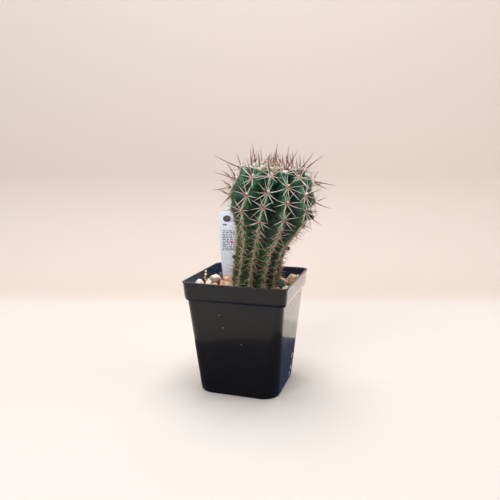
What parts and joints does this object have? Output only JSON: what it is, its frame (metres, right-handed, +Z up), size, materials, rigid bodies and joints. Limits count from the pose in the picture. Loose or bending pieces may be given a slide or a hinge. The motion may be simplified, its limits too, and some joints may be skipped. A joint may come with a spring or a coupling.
{
  "type": "potted echinopsis cactus",
  "caption": "Ribbed, club-shaped cactus with spines on every areole, leaning in a black square nursery pot with gravel top dressing and a blank plant label.",
  "frame": {"origin": "centre of the pot's underside, on the surface that it stands on", "axes": "+Z up, -Y towards the pot's front wall, +X towards its right wall"},
  "size_m": [0.0949, 0.0833, 0.1642],
  "materials": {
    "pot_plastic": "injection-moulded black polypropylene, satin",
    "potting_mix": "loose bark and peat potting mix",
    "gravel_mix": "dry mixed grit, tan to orange",
    "cactus_skin": "deep green waxy plant skin with tan to brown spines",
    "label_plastic": "white plastic sheet, satin",
    "pumice": "white porous pumice",
    "brown_pebble": "smooth grey-brown pebble",
    "orange_gravel": "rough orange gravel",
    "tan_gravel": "rough tan gravel",
    "cream_pebble": "smooth cream pebble",
    "bark": "dry dark bark"
  },
  "bodies": {
    "root": {"pot": "pot_plastic", "potting_soil": "potting_mix", "gravel_bed": "gravel_mix", "cactus": "cactus_skin", "plant_label": "label_plastic", "bark_bit": "bark", "pumice_white_large": "pumice", "pumice_white_small": "pumice", "pumice_white_side": "pumice", "pumice_bit_right": "pumice", "pumice_white_front": "pumice", "pebble_grey_brown": "brown_pebble", "pebble_cream_right": "cream_pebble", "gravel_orange_left": "orange_gravel", "gravel_orange_front": "orange_gravel", "gravel_tan_left": "tan_gravel", "gravel_tan_back": "tan_gravel", "rock_tan_right": "tan_gravel"}
  },
  "joints": []
}
